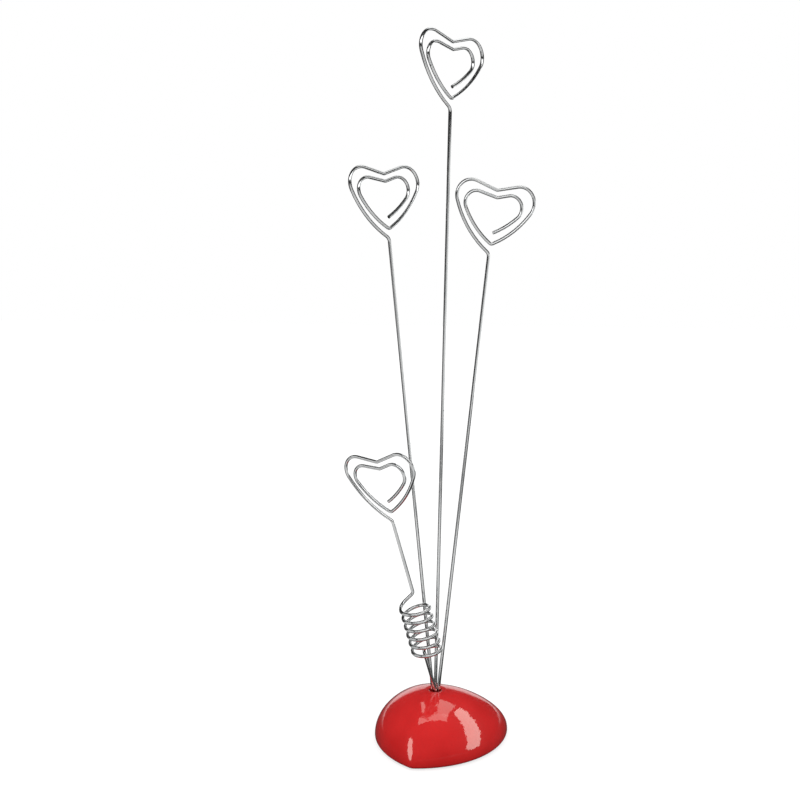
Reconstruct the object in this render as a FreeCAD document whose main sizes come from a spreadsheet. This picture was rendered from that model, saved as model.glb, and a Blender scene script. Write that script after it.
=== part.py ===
# Memo clip holder: a heart-shaped cast base with four spring-wire clips glued into its crown.
#
# Frame: Z up, origin on the table under the bore, heart tip towards -Y. Millimetres and degrees.
# Each clip is one length of round wire: a seat in the base, a leaning stem and a double heart
# bent like a paper clip. One stem also carries an open left-handed coil.
import FreeCAD, Part

import math
import os

import Sketcher
from FreeCAD import Vector

SIZES = (
    # heart base, plan at its foot
    ("base_height", "24.8"),
    ("base_lobe_radius", "16.0"),
    ("base_lobe_spread", "13.9"),
    ("base_lobe_back", "18.2"),
    ("base_tip_reach", "33.2"),
    ("base_tip_radius", "4.3"),
    ("base_side_radius", "44.5"),
    ("base_notch_radius", "4.0"),
    # crown, where the outline fades from a heart to a circle
    ("crown_radius", "27.6"),
    ("crown_blend", "0.86"),
    ("crown_rim_radius", "4.9"),
    ("tip_softening", "6.0"),
    ("foot_rounding", "1.7"),
    # bore and what holds the wires in it
    ("bore_diameter", "5.8"),
    ("bore_depth", "18.0"),
    ("bore_rim_rounding", "0.5"),
    ("adhesive_depth", "8.5"),
    ("fit_clearance", "0.05"),
    # pad under the base
    ("pad_thickness", "1.2"),
    ("pad_recess_depth", "0.8"),
    ("pad_edge_margin", "3.0"),
    ("pad_recess_gap", "0.25"),
    # wire and its seats in the bore
    ("wire_diameter", "1.6"),
    ("seat_spacing", "1.35"),
    ("seat_heading", "21.3"),
    ("mouth_bend_radius", "110.0"),
    # outer loop of a clip, from its notch corner
    ("clip_lobe_radius", "7.3"),
    ("clip_lobe_spread", "12.3"),
    ("clip_lobe_drop", "4.1"),
    ("clip_side_radius", "46.0"),
    ("clip_tip_drop", "24.6"),
    ("clip_stem_drop", "28.8"),
    ("clip_stem_offset", "0.5"),
    # inner loop of a clip, from the same corner
    ("inner_lobe_radius", "5.6"),
    ("inner_left_spread", "9.5"),
    ("inner_right_spread", "7.9"),
    ("inner_lobe_drop", "7.0"),
    ("inner_side_radius", "40.0"),
    ("inner_notch_drop", "3.3"),
    ("inner_notch_offset", "0.5"),
    ("inner_end_drop", "19.3"),
    ("inner_end_offset", "0.4"),
    # bends of the clip
    ("stem_bend_radius", "3.0"),
    ("tip_bend_radius", "1.8"),
    ("notch_bend_radius", "2.0"),
    # tall clip: stem from the bore's mouth to its bend, lean, heading of the lean, turn of the clip
    ("tall_stem_length", "270.2"),
    ("tall_lean", "1.3"),
    ("tall_lean_heading", "-3.6"),
    ("tall_clip_turn", "64.1"),
    ("left_stem_length", "213.7"),
    ("left_lean", "5.5"),
    ("left_lean_heading", "201.9"),
    ("left_clip_turn", "60.3"),
    ("right_stem_length", "207.2"),
    ("right_lean", "6.3"),
    ("right_lean_heading", "29.7"),
    ("right_clip_turn", "41.2"),
    # coiled clip: open coil, its place and the bends that lead into it
    ("coil_radius", "6.67"),
    ("coil_pitch", "4.24"),
    ("coil_turns", "5.5"),
    ("coil_foot_across", "-0.7"),
    ("coil_foot_forward", "9.6"),
    ("coil_foot_height", "47.1"),
    ("coil_lean", "16.5"),
    ("coil_lean_heading", "225.3"),
    ("coil_exit_run", "4.3"),
    ("coil_exit_radius", "4.6"),
    ("lead_bend_radius", "1.8"),
    ("lead_bend_across", "-2.1"),
    ("lead_bend_behind", "5.7"),
    ("lead_bend_drop", "0.8"),
    ("lead_mouth_radius", "12.0"),
    ("riser_bend_radius", "1.8"),
    ("riser_bend_across", "0.45"),
    ("riser_bend_behind", "6.4"),
    ("riser_bend_rise", "3.9"),
    ("coiled_stem_length", "36.9"),
    ("coiled_clip_turn", "-14.6"),
)

# Angles round the foot's rounding of its sections, degrees
FOOT_STEPS = (0, 30, 60, 90)
# Spans between the dome's sections, evenly spaced round its curve from the foot to the crown
DOME_SPANS = 12
# The dome's height follows the sine of its angle to this power, so its shoulder is soft
DOME_POWER = 1.14
# How many more radii the notch opens by where the outline has faded to a circle
NOTCH_OPENING = 6
# Two heights or widths nearer than this are the same, millimetres
SAME = 0.01
UP = Vector(0, 0, 1)

document = FreeCAD.newDocument("memo_clip_holder")
sheet = document.addObject("Spreadsheet::Sheet", "Sizes")
for row, (alias, value) in enumerate(SIZES, start=1):
    sheet.set(f"A{row}", alias)
    sheet.set(f"B{row}", value)
    sheet.setAlias(f"B{row}", alias)
document.recompute()


def size(alias):
    return float(sheet.get(alias))


# Plane geometry shared by the base and the clips


def circles_meet(centre_a, radius_a, centre_b, radius_b, side):
    """Where two circles cross: side is +1 for the left of the line from a to b, -1 for its right."""
    across = centre_b - centre_a
    gap = across.Length
    along = (radius_a**2 - radius_b**2 + gap**2) / (2 * gap)
    off = math.sqrt(max(radius_a**2 - along**2, 0.0))
    normal = Vector(-across.y, across.x, 0) / gap
    return centre_a + across * (along / gap) + normal * (side * off)


def touch_point(point, centre, radius, side):
    """Where a line from a point touches a circle, on the left (+1) or right (-1) of its centre."""
    across = centre - point
    reach = math.sqrt(across.Length**2 - radius**2)
    return circles_meet(point, reach, centre, radius, side)


def away(start, through, distance):
    """The point at a distance from start, on the line from start through another point."""
    return start + (through - start).normalize() * distance


def angle_of(centre, point):
    return math.atan2(point.y - centre.y, point.x - centre.x)


# Heart outline of the base


def half_way_share(rise):
    """0 at the foot and at the crown, and 1 half way between them."""
    return 4 * rise * (1 - rise)


def heart_sizes(scale, rise, margin):
    """Sizes of one heart section: scaled down, blended towards the crown's circle, and inset."""
    blend = rise**2 * size("crown_blend")
    keep = scale * (1 - blend)
    crown = scale * blend * size("crown_radius")
    notch = scale * (1 + NOTCH_OPENING * blend)
    soft = scale * half_way_share(rise) * size("tip_softening")
    return {
        "lobe_radius": keep * size("base_lobe_radius") + crown - margin,
        "lobe_spread": keep * size("base_lobe_spread"),
        "lobe_back": keep * size("base_lobe_back"),
        "tip_radius": keep * size("base_tip_radius") + crown + soft - margin,
        "tip_forward": keep * (size("base_tip_reach") - size("base_tip_radius")) - soft,
        "side_radius": keep * size("base_side_radius") + crown - margin,
        "notch_radius": notch * size("base_notch_radius") + margin,
    }


def heart_expressions(scale, rise, margin):
    """The same sizes as expressions on the sheet, one for each dimension of the sketch."""
    blend = f"{rise**2:.6f} * Sizes.crown_blend"
    keep = f"{scale:.6f} * (1 - {blend})"
    crown = f"{scale:.6f} * {blend} * Sizes.crown_radius"
    notch = f"{scale:.6f} * (1 + {NOTCH_OPENING} * {blend})"
    soft = f"{scale * half_way_share(rise):.6f} * Sizes.tip_softening"
    return {
        "lobe_radius": f"{keep} * Sizes.base_lobe_radius + {crown} - {margin}",
        "lobe_spread": f"{keep} * Sizes.base_lobe_spread",
        "lobe_back": f"{keep} * Sizes.base_lobe_back",
        "tip_radius": f"{keep} * Sizes.base_tip_radius + {crown} + {soft} - {margin}",
        "tip_forward": f"{keep} * (Sizes.base_tip_reach - Sizes.base_tip_radius) - {soft}",
        "side_radius": f"{keep} * Sizes.base_side_radius + {crown} - {margin}",
        "notch_radius": f"{notch} * Sizes.base_notch_radius + {margin}",
    }


def heart_arcs(sizes):
    """Six tangent arcs of a heart section as (centre, radius, from, to), each anticlockwise."""
    lobe = sizes["lobe_radius"]
    tip = sizes["tip_radius"]
    side = sizes["side_radius"]
    notch = sizes["notch_radius"]
    right = Vector(sizes["lobe_spread"], sizes["lobe_back"], 0)
    front = Vector(0, -sizes["tip_forward"], 0)
    right_side = circles_meet(front, side - tip, right, side - lobe, 1)
    back = Vector(0, right.y + math.sqrt((lobe + notch) ** 2 - right.x**2), 0)
    tip_right = away(right_side, front, side)
    lobe_right = away(right_side, right, side)
    notch_right = away(right, back, lobe)

    def mirrored(point):
        return Vector(-point.x, point.y, 0)

    return (
        (front, tip, mirrored(tip_right), tip_right),
        (right_side, side, tip_right, lobe_right),
        (right, lobe, lobe_right, notch_right),
        (back, notch, mirrored(notch_right), notch_right),
        (mirrored(right), lobe, mirrored(notch_right), mirrored(lobe_right)),
        (mirrored(right_side), side, mirrored(lobe_right), mirrored(tip_right)),
    )


def origin_plane(body, role):
    return next(plane for plane in body.Origin.OriginFeatures if plane.Role == role)


def ground_sketch(body, name, height):
    """A sketch parallel to the body's ground plane, lifted by an expression."""
    sketch = body.newObject("Sketcher::SketchObject", name)
    sketch.AttachmentSupport = [(origin_plane(body, "XY_Plane"), "")]
    sketch.MapMode = "FlatFace"
    sketch.setExpression(".AttachmentOffset.Base.z", height)
    return sketch


def add_dimension(sketch, label, expression, *constraint):
    index = sketch.addConstraint(Sketcher.Constraint(*constraint))
    sketch.renameConstraint(index, label)
    sketch.setExpression(f"Constraints.{label}", expression)


def heart_sketch(body, name, height, scale=1.0, rise=0.0, insets=()):
    """A fully constrained heart section.

    rise is 0 at the foot and 1 at the crown, and insets are (share, alias) pairs that
    draw the outline in by those sizes.
    """
    margin = sum(share * size(alias) for share, alias in insets)
    inset_terms = [f"{share:.6f} * Sizes.{alias}" for share, alias in insets]
    sizes = heart_sizes(scale, rise, margin)
    expressions = heart_expressions(scale, rise, "(" + " + ".join(inset_terms or ["0"]) + ")")
    sketch = ground_sketch(body, name, height)
    for centre, radius, start, end in heart_arcs(sizes):
        circle = Part.Circle(centre, UP, radius)
        first = angle_of(centre, start)
        last = angle_of(centre, end)
        sketch.addGeometry(Part.ArcOfCircle(circle, first, last))
    tip, right_side, right, notch, left, left_side = range(6)
    start, end, middle = 1, 2, 3
    for one, its_end, other, other_end in (
        (tip, end, right_side, start),
        (right_side, end, right, start),
        (right, end, notch, end),
        (notch, start, left, start),
        (left, end, left_side, start),
        (left_side, end, tip, start),
    ):
        sketch.addConstraint(Sketcher.Constraint("Tangent", one, its_end, other, other_end))
    sketch.addConstraint(Sketcher.Constraint("PointOnObject", tip, middle, -2))
    sketch.addConstraint(Sketcher.Constraint("Symmetric", left, middle, right, middle, -2))
    sketch.addConstraint(Sketcher.Constraint("Equal", left, right))
    sketch.addConstraint(Sketcher.Constraint("Equal", left_side, right_side))
    for label, constraint in (
        ("lobe_radius", ("Radius", right)),
        ("tip_radius", ("Radius", tip)),
        ("side_radius", ("Radius", right_side)),
        ("notch_radius", ("Radius", notch)),
        ("lobe_spread", ("DistanceX", -1, 1, right, middle)),
        ("lobe_back", ("DistanceY", -1, 1, right, middle)),
        ("tip_forward", ("DistanceY", tip, middle, -1, 1)),
    ):
        add_dimension(sketch, label, expressions[label], *constraint, sizes[label])
    return sketch


# Heart base: a lofted dome with a rounded foot, a blind bore in its crown and a recess below


def edges_at_height(shape, height):
    """Names of the edges that lie level at a height."""
    names = []
    for index, edge in enumerate(shape.Edges, start=1):
        box = edge.BoundBox
        if abs(box.ZMin - height) < SAME and abs(box.ZMax - height) < SAME:
            names.append(f"Edge{index}")
    return names


def add_loft(body, name, sections):
    loft = body.newObject("PartDesign::AdditiveLoft", name)
    loft.Profile = sections[0]
    loft.Sections = sections[1:]
    document.recompute()
    return loft


def foot_sections(body):
    sections = []
    for number, step in enumerate(FOOT_STEPS, start=1):
        inset = 1 - math.sin(math.radians(step))
        rise = 1 - math.cos(math.radians(step))
        height = f"Sizes.foot_rounding * {rise:.6f}"
        insets = [(inset, "foot_rounding")]
        sections.append(heart_sketch(body, f"foot_section_{number}", height, insets=insets))
    return sections


def dome_sections(body):
    crown_angle = math.acos(size("crown_rim_radius") / size("crown_radius"))
    sections = []
    for number in range(DOME_SPANS + 1):
        angle = crown_angle * number / DOME_SPANS
        rise = math.sin(angle) / math.sin(crown_angle)
        height = (
            "Sizes.foot_rounding + (Sizes.base_height - Sizes.foot_rounding)"
            f" * {rise ** DOME_POWER:.6f}"
        )
        section = heart_sketch(body, f"dome_section_{number}", height, math.cos(angle), rise)
        sections.append(section)
    return sections


def build_base():
    body = document.addObject("PartDesign::Body", "heart_base")
    add_loft(body, "rounded_foot", foot_sections(body))
    add_loft(body, "dome", dome_sections(body))

    recess_outline = heart_sketch(
        body, "pad_recess_outline", "0", insets=[(1, "pad_edge_margin")]
    )
    recess = body.newObject("PartDesign::Pocket", "pad_recess")
    recess.Profile = recess_outline
    recess.Reversed = True
    recess.setExpression("Length", "Sizes.pad_recess_depth")
    document.recompute()

    bore_outline = ground_sketch(body, "bore_outline", "Sizes.base_height")
    bore_outline.addGeometry(Part.Circle(Vector(0, 0, 0), UP, size("bore_diameter") / 2))
    bore_outline.addConstraint(Sketcher.Constraint("Coincident", 0, 3, -1, 1))
    add_dimension(
        bore_outline, "bore", "Sizes.bore_diameter", "Diameter", 0, size("bore_diameter")
    )
    bore = body.newObject("PartDesign::Pocket", "bore")
    bore.Profile = bore_outline
    bore.setExpression("Length", "Sizes.bore_depth")
    document.recompute()

    rim = body.newObject("PartDesign::Fillet", "bore_rim")
    mouth = [
        name
        for name in edges_at_height(bore.Shape, size("base_height"))
        if abs(bore.Shape.getElement(name).BoundBox.XLength - size("bore_diameter")) < SAME
    ]
    rim.Base = (bore, mouth)
    rim.setExpression("Radius", "Sizes.bore_rim_rounding")
    body.Tip = rim
    body.setExpression(".Placement.Base.z", "Sizes.pad_thickness - Sizes.pad_recess_depth")
    document.recompute()
    return body


def build_pad():
    body = document.addObject("PartDesign::Body", "base_pad")
    outline = heart_sketch(
        body, "pad_outline", "0", insets=[(1, "pad_edge_margin"), (1, "pad_recess_gap")]
    )
    pad = body.newObject("PartDesign::Pad", "pad_sheet")
    pad.Profile = outline
    pad.setExpression("Length", "Sizes.pad_thickness")
    body.Tip = pad
    document.recompute()
    return body


# Seats of the wires: holes in the adhesive at the bottom of the bore, evenly spaced in a ring

CLIPS = ("right", "tall", "left", "coiled")
SEATS = {name: 360 * place / len(CLIPS) for place, name in enumerate(CLIPS)}
MOUTH_HEIGHT = "Sizes.pad_thickness - Sizes.pad_recess_depth + Sizes.base_height"
BORE_FLOOR = f"{MOUTH_HEIGHT} - Sizes.bore_depth"


def mouth_height():
    return size("pad_thickness") - size("pad_recess_depth") + size("base_height")


def bore_floor():
    return mouth_height() - size("bore_depth")


def seat_point(name, height):
    heading = math.radians(size("seat_heading") + SEATS[name])
    reach = size("seat_spacing")
    return Vector(reach * math.cos(heading), reach * math.sin(heading), height)


def seat_expression(name, function):
    return f"Sizes.seat_spacing * {function}((Sizes.seat_heading + {SEATS[name]}) * 1 deg)"


def build_adhesive():
    fill = document.addObject("Part::Cylinder", "adhesive_fill")
    fill.setExpression("Radius", "Sizes.bore_diameter / 2 - Sizes.fit_clearance")
    fill.setExpression("Height", "Sizes.adhesive_depth")
    fill.setExpression(".Placement.Base.z", BORE_FLOOR)
    holes = []
    for name in CLIPS:
        hole = document.addObject("Part::Cylinder", f"{name}_wire_hole")
        hole.setExpression("Radius", "Sizes.wire_diameter / 2 + Sizes.fit_clearance")
        hole.setExpression("Height", "Sizes.adhesive_depth")
        hole.setExpression(".Placement.Base.x", seat_expression(name, "cos"))
        hole.setExpression(".Placement.Base.y", seat_expression(name, "sin"))
        hole.setExpression(".Placement.Base.z", BORE_FLOOR)
        holes.append(hole)
    wires = document.addObject("Part::MultiFuse", "wire_holes")
    wires.Shapes = holes
    adhesive = document.addObject("Part::Cut", "bore_adhesive")
    adhesive.Base = fill
    adhesive.Tool = wires
    document.recompute()
    return adhesive


# Wire paths: straight runs, tangent arcs and a helix


def straight(start, end):
    return Part.LineSegment(start, end).toShape()


def rounded_run(points, radii):
    """Straight runs through the points, each inner point rounded by a tangent arc."""
    edges = []
    reached = points[0]
    for before, corner, after, radius in zip(points, points[1:], points[2:], radii):
        back = (before - corner).normalize()
        onward = (after - corner).normalize()
        half = back.getAngle(onward) / 2
        start = corner + back * (radius / math.tan(half))
        end = corner + onward * (radius / math.tan(half))
        centre = corner + (back + onward).normalize() * (radius / math.sin(half))
        edges.append(straight(reached, start))
        edges.append(Part.Arc(start, away(centre, corner, radius), end).toShape())
        reached = end
    edges.append(straight(reached, points[-1]))
    return edges


def leaning(lean, heading):
    """Unit vector that leans from upright by an angle, towards a heading."""
    lean = math.radians(lean)
    heading = math.radians(heading)
    flat = math.sin(lean)
    return Vector(flat * math.cos(heading), flat * math.sin(heading), math.cos(lean))


def square_to(direction, heading):
    """Unit vector square to a direction, as near as can be to a level heading."""
    heading = math.radians(heading)
    level = Vector(math.cos(heading), math.sin(heading), 0)
    return (level - direction * level.dot(direction)).normalize()


def clip_loops(corner, stem, turn):
    """Edges of the double heart in the plane of the stem, and the point where they leave it.

    Flat coordinates start at the outer loop's notch corner, with y along the stem.
    """
    across = square_to(stem, turn)
    plane = FreeCAD.Rotation(across, stem, across.cross(stem), "XYZ")
    stem_corner = Vector(-size("clip_stem_offset"), -size("clip_stem_drop"), 0)
    place = FreeCAD.Placement(corner - plane.multVec(stem_corner), plane)

    def arc(centre, start, end, clockwise=True):
        first = angle_of(centre, start)
        last = angle_of(centre, end)
        if clockwise and last > first:
            last -= 2 * math.pi
        if not clockwise and last < first:
            last += 2 * math.pi
        radius = (start - centre).Length
        half_way = (first + last) / 2
        middle = centre + Vector(math.cos(half_way), math.sin(half_way), 0) * radius
        return Part.Arc(*(place.multVec(point) for point in (start, middle, end))).toShape()

    def rounded_notch(left_end, notch, right_start):
        run = [place.multVec(point) for point in (left_end, notch, right_start)]
        return rounded_run(run, [size("notch_bend_radius")])

    lobe = size("clip_lobe_radius")
    side = size("clip_side_radius")
    inner_lobe = size("inner_lobe_radius")
    inner_side = size("inner_side_radius")
    tip_bend = size("tip_bend_radius")
    stem_bend = size("stem_bend_radius")
    left = Vector(-size("clip_lobe_spread"), -size("clip_lobe_drop"), 0)
    right = Vector(size("clip_lobe_spread"), -size("clip_lobe_drop"), 0)
    inner_left = Vector(-size("inner_left_spread"), -size("inner_lobe_drop"), 0)
    inner_right = Vector(size("inner_right_spread"), -size("inner_lobe_drop"), 0)
    notch = Vector(0, 0, 0)
    tip = Vector(0, -size("clip_tip_drop"), 0)
    inner_notch = Vector(size("inner_notch_offset"), -size("inner_notch_drop"), 0)
    wire_end = Vector(size("inner_end_offset"), -size("inner_end_drop"), 0)

    # Centres of the long side arcs, each through its corner and round its lobe
    left_side = circles_meet(stem_corner, side, left, side - lobe, -1)
    right_side = circles_meet(tip, side, right, side - lobe, 1)
    inner_left_side = circles_meet(tip, inner_side, inner_left, inner_side - inner_lobe, -1)
    inner_right_side = circles_meet(wire_end, side, inner_right, side - inner_lobe, 1)

    # The stem bend lies left of the stem and outside the left side arc
    bend_x = stem_corner.x - stem_bend
    bend_fall = math.sqrt((side + stem_bend) ** 2 - (left_side.x - bend_x) ** 2)
    stem_centre = Vector(bend_x, left_side.y - bend_fall, 0)
    stem_end = Vector(stem_corner.x, stem_centre.y, 0)
    side_start = away(left_side, stem_centre, side)
    # The tip bend lies inside both sides that meet there
    tip_centre = circles_meet(
        inner_left_side, inner_side - tip_bend, right_side, side - tip_bend, 1
    )
    tip_start = away(right_side, tip_centre, side)
    tip_end = away(inner_left_side, tip_centre, inner_side)

    left_touch = away(left_side, left, side)
    right_touch = away(right_side, right, side)
    inner_left_touch = away(inner_left_side, inner_left, inner_side)
    inner_right_touch = away(inner_right_side, inner_right, side)
    lobe_to_notch = touch_point(notch, left, lobe, -1)
    notch_to_lobe = touch_point(notch, right, lobe, 1)
    inner_lobe_to_notch = touch_point(inner_notch, inner_left, inner_lobe, -1)
    inner_notch_to_lobe = touch_point(inner_notch, inner_right, inner_lobe, 1)

    edges = [
        arc(stem_centre, stem_end, side_start, clockwise=False),
        arc(left_side, side_start, left_touch),
        arc(left, left_touch, lobe_to_notch),
        *rounded_notch(lobe_to_notch, notch, notch_to_lobe),
        arc(right, notch_to_lobe, right_touch),
        arc(right_side, right_touch, tip_start),
        arc(tip_centre, tip_start, tip_end),
        arc(inner_left_side, tip_end, inner_left_touch),
        arc(inner_left, inner_left_touch, inner_lobe_to_notch),
        *rounded_notch(inner_lobe_to_notch, inner_notch, inner_notch_to_lobe),
        arc(inner_right, inner_notch_to_lobe, inner_right_touch),
        arc(inner_right_side, inner_right_touch, wire_end),
    ]
    return edges, place.multVec(stem_end)


def sweep_wire(name, edges):
    """Round wire swept along a path that starts upright on the bore's floor."""
    path = document.addObject("Part::Feature", f"{name}_path")
    path.Shape = Part.Wire(edges)
    ring = document.addObject("Part::Circle", f"{name}_section")
    ring.setExpression("Radius", "Sizes.wire_diameter / 2")
    ring.Placement = FreeCAD.Placement(edges[0].Vertexes[0].Point, FreeCAD.Rotation())
    wire = document.addObject("Part::Sweep", name)
    wire.Sections = [ring]
    wire.Spine = (path, [f"Edge{index}" for index in range(1, len(edges) + 1)])
    wire.Solid = True
    document.recompute()
    return wire


def build_straight_clip(side):
    """A clip whose stem runs straight from the bore's mouth to its double heart."""
    floor = seat_point(side, bore_floor())
    mouth = seat_point(side, mouth_height())
    stem = leaning(size(f"{side}_lean"), size(f"{side}_lean_heading"))
    corner = mouth + stem * size(f"{side}_stem_length")
    loops, stem_end = clip_loops(corner, stem, size(f"{side}_clip_turn"))
    root = rounded_run([floor, mouth, stem_end], [size("mouth_bend_radius")])
    return sweep_wire(f"{side}_clip_wire", root + loops)


def build_coiled_clip():
    """The clip whose stem carries an open left-handed coil, wound in front of its lead."""
    floor = seat_point("coiled", bore_floor())
    mouth = seat_point("coiled", mouth_height())
    axis = leaning(size("coil_lean"), size("coil_lean_heading"))
    across = square_to(axis, size("seat_heading"))
    behind = axis.cross(across)
    radius = size("coil_radius")
    pitch = size("coil_pitch")
    turns = size("coil_turns")
    foot = Vector(size("coil_foot_across"), -size("coil_foot_forward"), size("coil_foot_height"))
    top = foot + axis * (pitch * turns)

    coil = Part.makeHelix(pitch, pitch * turns, radius, 0, True)
    coil.Placement = FreeCAD.Placement(foot, FreeCAD.Rotation(across, behind, axis, "XYZ"))

    # The wire leaves each end of the coil along its own tangent, which points behind
    climb = pitch / (2 * math.pi * radius)
    run = size("coil_exit_run")
    lower_end = foot + across * radius
    lower_turn = lower_end + (behind - axis * climb) * run
    upper_end = top - across * radius
    upper_turn = upper_end + (behind + axis * climb) * run
    lead_bend = (
        foot
        + across * size("lead_bend_across")
        + behind * size("lead_bend_behind")
        - axis * size("lead_bend_drop")
    )
    riser_bend = (
        top
        + across * size("riser_bend_across")
        + behind * size("riser_bend_behind")
        + axis * size("riser_bend_rise")
    )
    exit_radius = size("coil_exit_radius")
    lead = rounded_run(
        [floor, mouth, lead_bend, lower_turn, lower_end],
        [size("lead_mouth_radius"), size("lead_bend_radius"), exit_radius],
    )
    corner = riser_bend + axis * size("coiled_stem_length")
    loops, stem_end = clip_loops(corner, axis, size("coiled_clip_turn"))
    riser = rounded_run(
        [upper_end, upper_turn, riser_bend, stem_end], [exit_radius, size("riser_bend_radius")]
    )
    return sweep_wire("coiled_clip_wire", lead + coil.Edges + riser + loops)


sub_parts = [
    build_base(),
    build_pad(),
    build_adhesive(),
    build_straight_clip("tall"),
    build_straight_clip("left"),
    build_straight_clip("right"),
    build_coiled_clip(),
]

# Nothing is written unless every object computed and every sub-part is one valid solid
failed = [item.Name for item in document.Objects if {"Invalid", "Error"} & set(item.State)]
if failed:
    raise RuntimeError("failed: " + ", ".join(failed))
os.makedirs("parts", exist_ok=True)
for sub_part in sub_parts:
    sub_part.Label = sub_part.Name
    shape = sub_part.Shape
    if shape.isNull() or not shape.isValid() or len(shape.Solids) != 1:
        raise RuntimeError(f"{sub_part.Label} is not one valid solid")
    print(f"{sub_part.Label}: {shape.Volume:.1f} cubic millimetres")
for sub_part in sub_parts:
    sub_part.Shape.exportStep(os.path.join("parts", f"{sub_part.Label}.step"))
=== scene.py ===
# Looks of the memo clip holder: materials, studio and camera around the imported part.
# Metres, in the part's own frame: Z up, origin on the table, heart tip towards -Y.
import math

import bpy
from mathutils import Matrix, Vector

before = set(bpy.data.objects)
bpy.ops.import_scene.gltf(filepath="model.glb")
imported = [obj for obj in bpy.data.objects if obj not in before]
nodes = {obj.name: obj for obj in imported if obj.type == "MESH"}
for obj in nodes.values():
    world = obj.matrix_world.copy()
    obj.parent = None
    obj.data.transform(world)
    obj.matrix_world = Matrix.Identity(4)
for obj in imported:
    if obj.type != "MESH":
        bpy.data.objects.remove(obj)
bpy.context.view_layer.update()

MM = 0.001

# Camera of the photograph
CAMERA_PLACE = Vector((0.1513, -0.4346, 0.2123))
CAMERA_HEADING = math.radians(21.3)
CAMERA_PITCH = math.radians(6.0)
CAMERA_LENS = 45.0
SENSOR_WIDTH = 36.0
NEAREST_SEEN = 0.01
FARTHEST_SEEN = 50.0

# Directions of the studio: level away from the camera, level to its right, and up
AWAY = Vector((-math.sin(CAMERA_HEADING), math.cos(CAMERA_HEADING), 0.0))
RIGHT = Vector((math.cos(CAMERA_HEADING), math.sin(CAMERA_HEADING), 0.0))
UP = Vector((0.0, 0.0, 1.0))

# Studio: the soft boxes stand around a point in the base, the floor cards lie just above the floor
FLOOR_SIZE = 12.0
LAMP_DISTANCE = 0.8
LAMP_CENTRE = Vector((0.0, 0.0, 15 * MM))
CARD_LIFT = 0.5 * MM

# Floor as the camera sees it: paint that takes the shadow, and a glow that brings it up to white
CAMERA_FLOOR_PAINT = 0.3
CAMERA_FLOOR_GLOW = 0.72

# Floor paint as the light that it throws back on the object meets it
BOUNCE_PAINT = 0.2

# Glow of the floor as gloss sees it: everywhere, then what the front and the rear add away from the base;
# near the base only the dim glow everywhere is left, a painted shadow of the object
FLOOR_GLOW = 0.05
FRONT_GLOW = 0.3
REAR_GLOW = 0.95

# Glow of the world as gloss sees it: the backdrop behind the object, and the rest of the room
BACKDROP_GLOW = 1.0
ROOM_GLOW = 0.03

# Glow of the world that lights the object: from below and behind, and from above and in front
LOW_FILL = 0.05
HIGH_FILL = 1.7

# Lamp colours
SOFT_GREEN = (0.93, 1.0, 0.91)
WHITE = (1.0, 1.0, 1.0)

# Paint colours
DEEP_RED = (0.555, 0.0125, 0.0125)
BRIGHT_RED = (0.62, 0.0165, 0.0165)
SHADED_RED = (0.46, 0.014, 0.014)
SPECK_RED = (0.17, 0.006, 0.006)

# Plating colours
GREY_NICKEL = (0.65, 0.665, 0.67)
PALE_NICKEL = (0.77, 0.775, 0.77)
SPECK_NICKEL = (0.09, 0.085, 0.08)

# Foam colours; the pore colour is painted shade in the pores
DARK_FOAM = (0.022, 0.022, 0.024)
PALE_FOAM = (0.045, 0.044, 0.044)
PORE_PAINTED_SHADE = (0.008, 0.008, 0.009)

# Glue colours
DARK_GLUE = (0.38, 0.3, 0.17)
PALE_GLUE = (0.52, 0.44, 0.3)
BUBBLE_GLUE = (0.66, 0.6, 0.48)


# Node graphs


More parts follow.
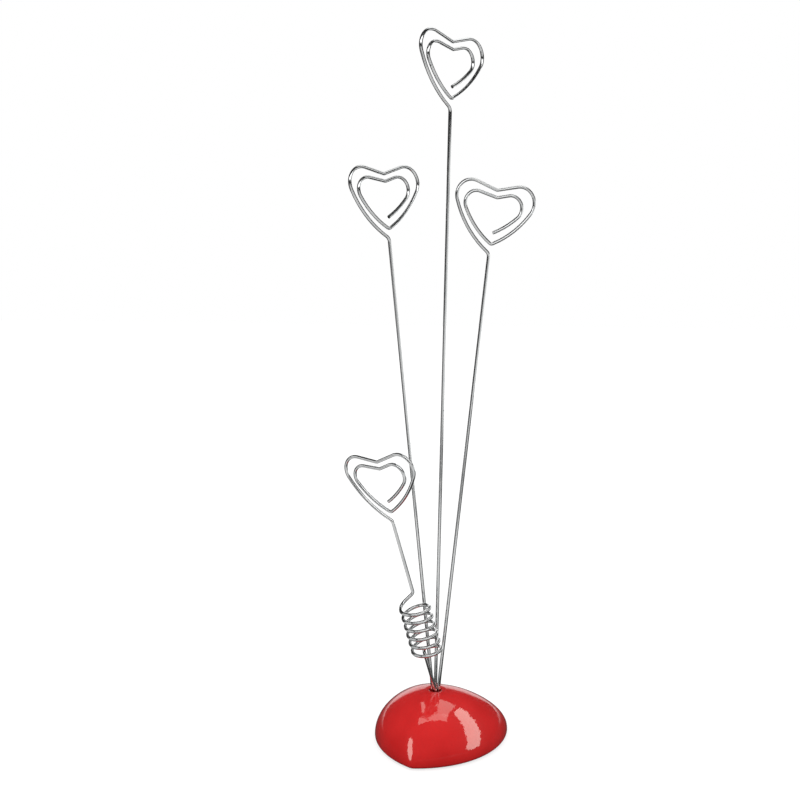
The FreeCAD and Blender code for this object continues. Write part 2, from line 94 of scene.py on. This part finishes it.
class Graph:
    """Node tree of a material or the world, with short calls for the nodes that they share."""

    def __init__(self, owner):
        owner.use_nodes = True
        self.owner = owner
        self.nodes = owner.node_tree.nodes
        self.links = owner.node_tree.links

    def add(self, kind, inputs=None, **settings):
        """A node with settings, whose inputs are values or another node's outputs."""
        node = self.nodes.new(kind)
        for name, value in settings.items():
            setattr(node, name, value)
        for name, value in (inputs or {}).items():
            self.feed(node.inputs[name], value)
        return node

    def feed(self, socket, value):
        if isinstance(value, bpy.types.NodeSocket):
            self.links.new(value, socket)
        else:
            socket.default_value = value

    def math(self, operation, first, second):
        return self.add("ShaderNodeMath", {0: first, 1: second}, operation=operation).outputs[0]

    def vector(self, operation, *vectors):
        """Node that works on vectors, whose result is its output Vector or Value."""
        return self.add("ShaderNodeVectorMath", dict(enumerate(vectors)), operation=operation).outputs

    def place(self):
        """The object's own coordinates in metres."""
        return self.add("ShaderNodeTexCoord").outputs["Object"]

    def noise(self, grain, detail=2.0):
        """Noise from 0 to 1 whose blotches are about a grain's length across."""
        inputs = {"Vector": self.place(), "Scale": 1.0 / grain, "Detail": detail}
        return self.add("ShaderNodeTexNoise", inputs).outputs["Fac"]

    def cells(self, grain):
        """Distance to the nearest of scattered points, as a share of a grain's length."""
        inputs = {"Vector": self.place(), "Scale": 1.0 / grain}
        return self.add("ShaderNodeTexVoronoi", inputs).outputs["Distance"]

    def ramp(self, value, low, high, to_low=0.0, to_high=1.0):
        """The value's stretch from low to high, spread over another range and held at its ends."""
        inputs = {
            "Value": value,
            "From Min": low,
            "From Max": high,
            "To Min": to_low,
            "To Max": to_high,
        }
        return self.add("ShaderNodeMapRange", inputs).outputs["Result"]

    def mix(self, factor, first, second):
        """Blend of two colours, where factor 0 is the first."""
        node = self.add("ShaderNodeMix", data_type="RGBA")
        for name, value in (("Factor_Float", factor), ("A_Color", first), ("B_Color", second)):
            socket = next(item for item in node.inputs if item.identifier == name)
            if isinstance(value, tuple):
                value = (*value, 1.0)
            self.feed(socket, value)
        return next(item for item in node.outputs if item.identifier == "Result_Color")

    def bump(self, height, strength, depth):
        inputs = {"Height": height, "Strength": strength, "Distance": depth}
        return self.add("ShaderNodeBump", inputs).outputs["Normal"]

    def seen_rays(self):
        """Two masks: 1 for rays from the camera, and 1 for rays off gloss or through glass."""
        path = self.add("ShaderNodeLightPath").outputs
        shiny = self.math("MAXIMUM", path["Is Glossy Ray"], path["Is Transmission Ray"])
        return path["Is Camera Ray"], shiny


class Surface(Graph):
    """A material on the Principled shader."""

    def __init__(self, name):
        super().__init__(bpy.data.materials.new(name))
        self.shader = self.nodes["Principled BSDF"]

    def set(self, **values):
        """Feed the shader's inputs, named with underscores for spaces, and return the material."""
        for name, value in values.items():
            self.feed(self.shader.inputs[name.replace("_", " ")], value)
        return self.owner


# Materials


def gloss_paint():
    """Red enamel under a clear gloss, with the faint orange peel and specks of a sprayed film."""
    paint = Surface("gloss_paint")
    clouds = paint.ramp(paint.noise(16 * MM), 0.35, 0.65)
    mottle = paint.ramp(paint.noise(1.2 * MM, detail=3.0), 0.3, 0.7)
    specks = paint.ramp(paint.cells(3.4 * MM), 0.05, 0.03)
    film = paint.mix(clouds, DEEP_RED, BRIGHT_RED)
    film = paint.mix(paint.math("MULTIPLY", mottle, 0.22), film, SHADED_RED)
    film = paint.mix(paint.math("MULTIPLY", specks, 0.6), film, SPECK_RED)
    peel = paint.noise(1.3 * MM, detail=1.0)
    ripple = paint.noise(7 * MM, detail=0.0)
    height = paint.math("ADD", peel, paint.math("MULTIPLY", ripple, 2.0))
    skin = paint.bump(height, 1.0, 0.032 * MM)
    return paint.set(
        Base_Color=film,
        Roughness=paint.ramp(mottle, 0.0, 1.0, 0.3, 0.42),
        Normal=skin,
        Specular_IOR_Level=0.05,
        Coat_Weight=1.0,
        Coat_Roughness=0.04,
        Coat_IOR=1.6,
        Coat_Normal=skin,
    )


def bright_wire():
    """Nickel-plated drawn wire: a faint grain, uneven polish and a few dark specks."""
    wire = Surface("bright_wire")
    polish = wire.noise(5 * MM, detail=3.0)
    grain = wire.noise(0.5 * MM)
    specks = wire.ramp(wire.cells(6 * MM), 0.07, 0.04)
    plating = wire.mix(wire.ramp(polish, 0.3, 0.7), GREY_NICKEL, PALE_NICKEL)
    plating = wire.mix(wire.math("MULTIPLY", specks, 0.75), plating, SPECK_NICKEL)
    dulling = wire.ramp(polish, 0.35, 0.75, 0.09, 0.18)
    return wire.set(
        Base_Color=plating,
        Metallic=1.0,
        Roughness=wire.math("ADD", dulling, wire.math("MULTIPLY", specks, 0.25)),
        Normal=wire.bump(grain, 0.5, 0.01 * MM),
    )


def foam_pad():
    """Matt dark closed-cell foam with open pores, whose hollows are painted darker as painted shade."""
    foam = Surface("foam_pad")
    pores = foam.ramp(foam.cells(0.7 * MM), 0.1, 0.5)
    shade = foam.mix(foam.noise(9 * MM, detail=3.0), DARK_FOAM, PALE_FOAM)
    return foam.set(
        # The pores' dark colour is painted shade in their hollows
        Base_Color=foam.mix(pores, PORE_PAINTED_SHADE, shade),
        Roughness=foam.ramp(pores, 0.0, 1.0, 0.95, 0.8),
        Normal=foam.bump(pores, 0.6, 0.15 * MM),
    )


def set_glue():
    """Slightly amber set glue with a few bubbles."""
    glue = Surface("set_glue")
    bubbles = glue.ramp(glue.cells(1.1 * MM), 0.12, 0.2)
    clouds = glue.noise(2.5 * MM)
    body = glue.mix(clouds, DARK_GLUE, PALE_GLUE)
    return glue.set(
        Base_Color=glue.mix(bubbles, BUBBLE_GLUE, body),
        Roughness=glue.ramp(clouds, 0.3, 0.7, 0.12, 0.25),
        Subsurface_Weight=0.2,
        Subsurface_Scale=1.0 * MM,
        Normal=glue.bump(bubbles, 0.3, 0.1 * MM),
    )


def dress(names, material):
    """Give named pieces one material in all their slots."""
    for name in names:
        materials = nodes[name].data.materials
        for index in range(len(materials)):
            materials[index] = material


# Studio


def studio_way(across, away, up):
    """Unit vector from the camera's own terms: to its right, away from it, and up."""
    return (RIGHT * across + AWAY * away + UP * up).normalized()


def floor_mirror_glow_and_shadow(graph):
    """Glow of the floor as gloss sees it: dim near the base, a painted shadow of the object, brighter in
    front, white behind.
    """
    place = graph.add("ShaderNodeNewGeometry").outputs["Position"]
    reach = graph.vector("LENGTH", place)["Value"]
    way = graph.vector("NORMALIZE", place)["Vector"]
    along = graph.vector("DOT_PRODUCT", way, AWAY)["Value"]
    # Front and rear glow rise only beyond some reach from the base, which leaves a painted shadow near it
    front = graph.math(
        "MULTIPLY",
        graph.ramp(along, -0.3, -0.75),
        graph.ramp(reach, 0.1, 0.45, 0.0, FRONT_GLOW),
    )
    rear = graph.math(
        "MULTIPLY",
        graph.ramp(along, 0.6, 0.9),
        graph.ramp(reach, 0.09, 0.35, 0.0, REAR_GLOW),
    )
    return graph.math("ADD", graph.math("ADD", front, rear), FLOOR_GLOW)


def pale_floor():
    """A white table that blends into the backdrop and keeps the object's shadow."""
    bpy.ops.mesh.primitive_plane_add(size=FLOOR_SIZE)
    floor = bpy.context.object
    floor.name = "floor"
    graph = Graph(bpy.data.materials.new("pale_floor"))
    graph.nodes.clear()

    def painted(shade):
        return graph.add("ShaderNodeBsdfDiffuse", {"Color": (shade, shade, shade, 1.0)}).outputs[0]

    def glowing(strength):
        return graph.add("ShaderNodeEmission", {"Strength": strength}).outputs[0]

    def either(factor, first, second):
        return graph.add("ShaderNodeMixShader", {0: factor, 1: first, 2: second}).outputs[0]

    camera, shiny = graph.seen_rays()
    seen = graph.add("ShaderNodeAddShader", {0: painted(CAMERA_FLOOR_PAINT), 1: glowing(CAMERA_FLOOR_GLOW)})
    # Floor in reflections: its glow, with a painted shadow of the object near the base
    mirrored = glowing(floor_mirror_glow_and_shadow(graph))
    surface = either(camera, either(shiny, painted(BOUNCE_PAINT), mirrored), seen.outputs[0])
    graph.add("ShaderNodeOutputMaterial", {"Surface": surface})
    floor.data.materials.append(graph.owner)


def backdrop_world():
    """White to the camera, white behind the object and dim elsewhere to gloss, and a soft fill."""
    world = bpy.data.worlds.new("studio")
    bpy.context.scene.world = world
    graph = Graph(world)
    graph.nodes.clear()
    direction = graph.add("ShaderNodeTexCoord").outputs["Generated"]
    behind = graph.vector("DOT_PRODUCT", direction, studio_way(0.0, 0.99, -0.1))["Value"]
    above = graph.vector("DOT_PRODUCT", direction, studio_way(-0.1, -0.7, 1.7))["Value"]
    room = graph.ramp(behind, 0.90, 0.93, ROOM_GLOW, BACKDROP_GLOW)
    fill = graph.ramp(above, -0.35, 0.95, LOW_FILL, HIGH_FILL)

    camera, shiny = graph.seen_rays()
    plain = graph.math("MULTIPLY", fill, graph.math("SUBTRACT", 1.0, shiny))
    strength = graph.math("ADD", plain, graph.math("MULTIPLY", room, shiny))
    strength = graph.math("MAXIMUM", strength, camera)
    background = graph.add("ShaderNodeBackground", {"Color": (*WHITE, 1.0), "Strength": strength})
    graph.add("ShaderNodeOutputWorld", {"Surface": background.outputs[0]})


def area_lamp(name, place, facing, along, size, radiance, shape="RECTANGLE"):
    """A flat lamp seen in reflections only: its back points one way and its length another."""
    across = along.cross(facing).normalized()
    light = bpy.data.lights.new(name, "AREA")
    light.shape = shape
    light.size, light.size_y = size
    area = light.size * light.size_y
    if shape == "ELLIPSE":
        area *= math.pi / 4
    light.energy = radiance * math.pi * area
    lamp = bpy.data.objects.new(name, light)
    bpy.context.scene.collection.objects.link(lamp)
    lamp.location = place
    lamp.rotation_mode = "QUATERNION"
    axes = Matrix((across, facing.cross(across), facing)).transposed()
    lamp.rotation_quaternion = axes.to_quaternion()
    lamp.visible_diffuse = False
    lamp.visible_camera = False
    return lamp


def softbox(name, middle, end, size, radiance, shape="RECTANGLE"):
    """A lamp in one direction from the base, whose length points to another, in studio_way's terms."""
    facing = studio_way(*middle)
    place = LAMP_CENTRE + facing * LAMP_DISTANCE
    return area_lamp(name, place, facing, studio_way(*end), size, radiance, shape)


def floor_card(name, place, size, radiance):
    """A lamp that lies on the table, face up, with its length away from the camera."""
    return area_lamp(name, place + UP * CARD_LIFT, -UP, AWAY, size, radiance)


def base_lamps():
    """Soft boxes whose mirror images are the highlights on the base."""
    return [
        softbox("right_softbox", (0.84, -0.06, 0.48), (0.5, 0.28, 0.82), (0.32, 1.1), 4.6),
        softbox("top_softbox", (0.245, 0.26, 0.93), (0.3, 0.5, 0.8), (0.3, 0.38), 2.15),
        softbox("top_front_panel", (0.0, -0.02, 1.0), (0.4, -0.06, 0.92), (0.15, 0.68), 2.3),
        softbox("top_left_strip", (-0.25, 0.35, 0.9), (-0.26, 0.47, 0.85), (0.07, 0.3), 2.3),
        softbox("left_softbox", (-0.72, -0.52, 0.42), (-0.68, -0.3, 0.69), (0.3, 0.78), 4.97, "ELLIPSE"),
    ]


def clip_lamps():
    """Cards around the wires, whose mirror images are the wires' light bands."""
    return [
        softbox("front_card", (0.56, -0.8, 0.22), (0.82, 0.57, 0.0), (0.36, 1.5), 0.5),
        softbox("upper_front_card", (0.1, -0.68, 0.73), (0.99, 0.1, 0.0), (0.25, 1.4), 2.2),
        softbox("right_card", (0.96, 0.25, 0.23), (0.25, -0.96, 0.0), (0.38, 1.2), 0.9),
        softbox("back_card", (0.1, 0.97, 0.22), (0.97, -0.1, 0.0), (0.36, 1.2), 0.85),
        softbox("left_card", (-0.97, 0.2, 0.22), (0.2, 0.97, 0.0), (0.36, 2.2), 0.05),
        softbox("top_card", (0.3, 0.3, 0.9), (0.3, 0.9, 0.3), (0.5, 0.5), 1.3),
        floor_card("front_floor_card", -0.29 * AWAY, (0.6, 0.4), 0.6),
    ]


def coil_lamps():
    """Two more cards, at the left and below, for the wire with the coil."""
    left = studio_way(-0.966, -0.26, 0.0)
    return [
        area_lamp("near_left_card", 0.3 * left + 0.18 * UP, left, UP, (0.24, 0.22), 0.8),
        floor_card("left_floor_card", -0.15 * RIGHT - 0.03 * AWAY, (0.16, 0.18), 0.8),
    ]


def light_pieces(names, tint, lamps):
    """Let lamps of one tint light only the named pieces."""
    pieces = bpy.data.collections.new("lit_pieces")
    for name in names:
        pieces.objects.link(nodes[name])
    for lamp in lamps:
        lamp.data.color = tint
        lamp.light_linking.receiver_collection = pieces


def photo_camera():
    """The camera at the photograph's place, level from side to side and pitched down."""
    data = bpy.data.cameras.new("camera")
    data.lens = CAMERA_LENS
    data.sensor_width = SENSOR_WIDTH
    data.clip_start = NEAREST_SEEN
    data.clip_end = FARTHEST_SEEN
    camera = bpy.data.objects.new("camera", data)
    bpy.context.scene.collection.objects.link(camera)
    camera.location = CAMERA_PLACE
    camera.rotation_euler = (math.pi / 2 - CAMERA_PITCH, 0.0, CAMERA_HEADING)
    bpy.context.scene.camera = camera


clips = [name for name in nodes if name.endswith("_clip_wire")]
dress(["heart_base"], gloss_paint())
dress(["base_pad"], foam_pad())
dress(["bore_adhesive"], set_glue())
dress(clips, bright_wire())

pale_floor()
backdrop_world()
light_pieces([name for name in nodes if name not in clips], SOFT_GREEN, base_lamps())
light_pieces(clips, WHITE, clip_lamps())
light_pieces(["coiled_clip_wire"], WHITE, coil_lamps())
photo_camera()
bpy.context.scene.view_settings.view_transform = "Standard"
